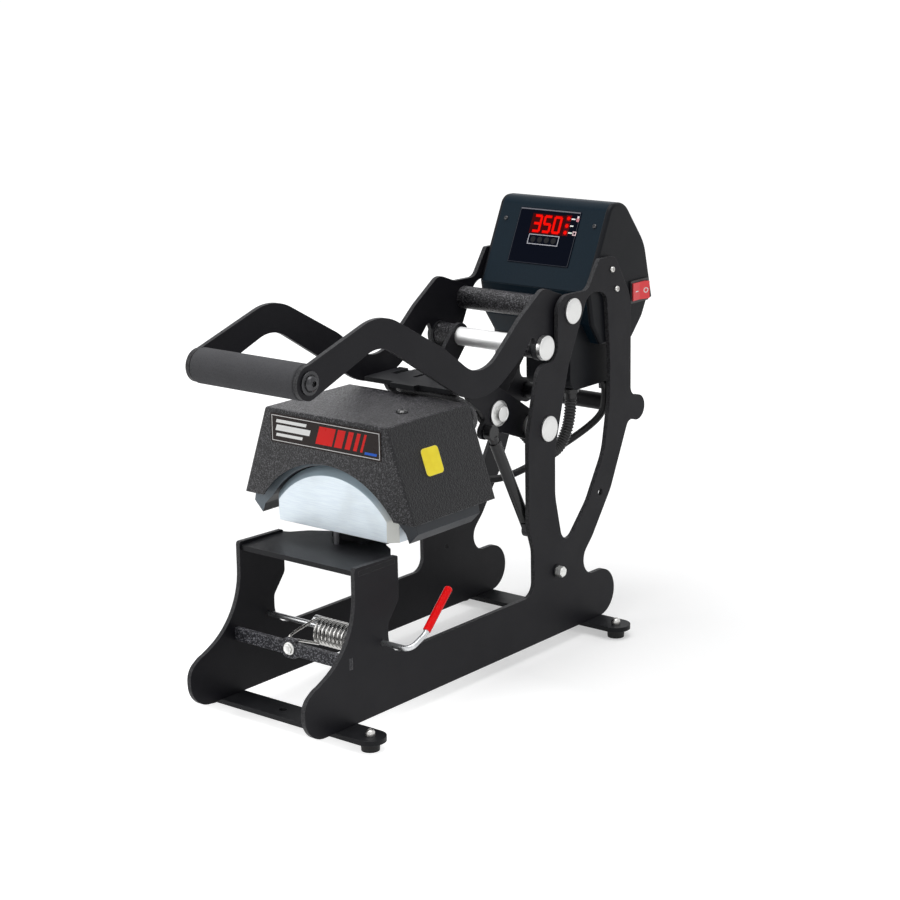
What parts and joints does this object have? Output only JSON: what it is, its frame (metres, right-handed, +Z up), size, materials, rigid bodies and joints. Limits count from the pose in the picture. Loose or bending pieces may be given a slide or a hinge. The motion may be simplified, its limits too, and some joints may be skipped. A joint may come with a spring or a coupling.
{
  "type": "cap heat press",
  "caption": "Bench press with a curved heated platen over a curved lower form, toggle handle, gas springs and a control box.",
  "frame": {"origin": "on the bench, under the middle of the press's outer box", "axes": "+Z up, -Y towards the user and the grip, +X to the user's right, X = 0 the plane between the side plates"},
  "size_m": [0.24, 0.5627, 0.4494],
  "materials": {
    "side_plate_left": "satin black powder coat",
    "side_plate_right": "satin black powder coat",
    "foot_bars": "satin black powder coat",
    "platform_plate": "satin black powder coat",
    "form_stand": "satin black powder coat",
    "front_crossbar": "coarse black wrinkle coat",
    "rear_tie_tube": "satin black powder coat",
    "gas_spring_brackets": "satin black powder coat",
    "base_washers": "satin black powder coat",
    "hex_bolts": "zinc plated",
    "handle_pivot_pin": "machined bright",
    "arm_pivot_pins": "machined bright",
    "locating_pin": "machined bright",
    "foot_screws": "zinc plated",
    "spring_post": "zinc plated",
    "hold_down_spring": "machined bright",
    "controller_side_walls": "satin black powder coat",
    "controller_shell": "satin black powder coat",
    "controller_base": "satin black powder coat",
    "relay_box": "satin black powder coat",
    "controller_screws": "zinc plated",
    "cable_glands": "moulded nylon",
    "rubber_feet": "moulded rubber",
    "lower_form": "milled, pale blue-white",
    "display_label": "glossy overlay",
    "display_digits": "lit red segments",
    "key_pad": "printed keys",
    "rocker_bezel": "moulded",
    "power_inlet": "moulded",
    "closing_switch": "moulded",
    "heater_lead_rear": "spiral wrap over braided lead",
    "switch_cable": "black cable jacket",
    "handle_plates": "satin black powder coat",
    "pivot_tube": "coarse black wrinkle coat",
    "grip": "foam grip",
    "grip_tube": "machined bright",
    "grip_screws": "black oxide",
    "link_pin": "machined bright",
    "link_bushes": "coarse black wrinkle coat",
    "link_washers": "machined bright",
    "link_plates": "satin black powder coat",
    "link_spacer_tube": "turned bright",
    "link_cross_shaft": "machined bright",
    "arm_cheeks": "satin black powder coat",
    "arm_top_plate": "satin black powder coat",
    "head_pins": "machined bright",
    "arm_pivot_bushes": "machined bright",
    "platen_hanger": "satin black powder coat",
    "heat_platen": "dark slate release coat",
    "heating_element": "machined bright",
    "head_cover": "coarse black wrinkle coat",
    "cover_screws": "zinc plated",
    "name_plate": "printed plate with plain stripes",
    "caution_plate": "plain yellow",
    "heater_lead_front": "braided sleeve",
    "gas_rods": "machined bright",
    "gas_cylinders": "black cylinder",
    "hold_down_rod": "zinc plated",
    "vinyl_sleeve": "red dipped vinyl",
    "rocker": "red rocker"
  },
  "bodies": {
    "frame": {"side_plate_left": "side_plate_left", "side_plate_right": "side_plate_right", "foot_bars": "foot_bars", "rubber_feet": "rubber_feet", "foot_screws": "foot_screws", "platform_plate": "platform_plate", "form_stand": "form_stand", "locating_pin": "locating_pin", "lower_form": "lower_form", "front_crossbar": "front_crossbar", "hex_bolts": "hex_bolts", "rear_tie_tube": "rear_tie_tube", "base_washers": "base_washers", "gas_spring_brackets": "gas_spring_brackets", "handle_pivot_pin": "handle_pivot_pin", "arm_pivot_pins": "arm_pivot_pins", "hold_down_spring": "hold_down_spring", "spring_post": "spring_post", "controller_side_walls": "controller_side_walls", "controller_shell": "controller_shell", "controller_base": "controller_base", "relay_box": "relay_box", "display_label": "display_label", "display_digits": "display_digits", "key_pad": "key_pad", "controller_screws": "controller_screws", "rocker_bezel": "rocker_bezel", "power_inlet": "power_inlet", "closing_switch": "closing_switch", "switch_cable": "switch_cable", "cable_glands": "cable_glands", "heater_lead_rear": "heater_lead_rear"},
    "handle": {"handle_plates": "handle_plates", "pivot_tube": "pivot_tube", "grip": "grip", "grip_tube": "grip_tube", "grip_screws": "grip_screws", "link_pin": "link_pin", "link_bushes": "link_bushes", "link_washers": "link_washers"},
    "link": {"link_plates": "link_plates", "link_spacer_tube": "link_spacer_tube", "link_cross_shaft": "link_cross_shaft"},
    "head": {"arm_cheeks": "arm_cheeks", "arm_top_plate": "arm_top_plate", "head_pins": "head_pins", "arm_pivot_bushes": "arm_pivot_bushes", "platen_hanger": "platen_hanger", "heat_platen": "heat_platen", "heating_element": "heating_element", "head_cover": "head_cover", "cover_screws": "cover_screws", "name_plate": "name_plate", "caution_plate": "caution_plate", "heater_lead_front": "heater_lead_front"},
    "gas_rod_pair": {"gas_rods": "gas_rods"},
    "gas_cylinder_pair": {"gas_cylinders": "gas_cylinders"},
    "hold_down_lever": {"hold_down_rod": "hold_down_rod", "vinyl_sleeve": "vinyl_sleeve"},
    "switch_rocker": {"rocker": "rocker"}
  },
  "joints": [
    {"name": "handle_swing", "type": "hinge", "parent": "frame", "child": "handle", "pos_m": [0, 0.13, 0.3505], "axis": [-1, 0, 0], "range_deg": [0, 60]},
    {"name": "head_swing", "type": "hinge", "parent": "frame", "child": "head", "pos_m": [0, 0.088, 0.2365], "axis": [-1, 0, 0], "range_deg": [0, 47.4]},
    {"name": "link_swing", "type": "hinge", "parent": "handle", "child": "link", "pos_m": [0, 0.0885, 0.319], "axis": [-1, 0, 0], "range_deg": [-93.3, 0]},
    {"name": "gas_spring_swing", "type": "hinge", "parent": "frame", "child": "gas_rod_pair", "pos_m": [0, 0.0735, 0.131], "axis": [-1, 0, 0], "range_deg": [0, 17.6]},
    {"name": "gas_spring_slide", "type": "slide", "parent": "gas_rod_pair", "child": "gas_cylinder_pair", "axis": [0, -0.4627, 0.8865], "range_m": [0, 0.0398]},
    {"name": "hold_down_swing", "type": "hinge", "parent": "frame", "child": "hold_down_lever", "pos_m": [0, -0.1724, 0.0826], "axis": [1, 0, 0], "range_deg": [-30, 80]},
    {"name": "power_rocker", "type": "hinge", "parent": "frame", "child": "switch_rocker", "pos_m": [0.066, 0.254, 0.3525], "axis": [0, 0, 1], "range_deg": [0, 16]}
  ],
  "couplings": [
    {"joint": "head_swing", "follows": "handle_swing", "ratio": 0.7888},
    {"joint": "link_swing", "follows": "handle_swing", "ratio": -1.5525},
    {"joint": "gas_spring_swing", "follows": "handle_swing", "ratio": 0.2917},
    {"joint": "gas_spring_slide", "follows": "handle_swing", "m_per_rad": 0.03791}
  ]
}
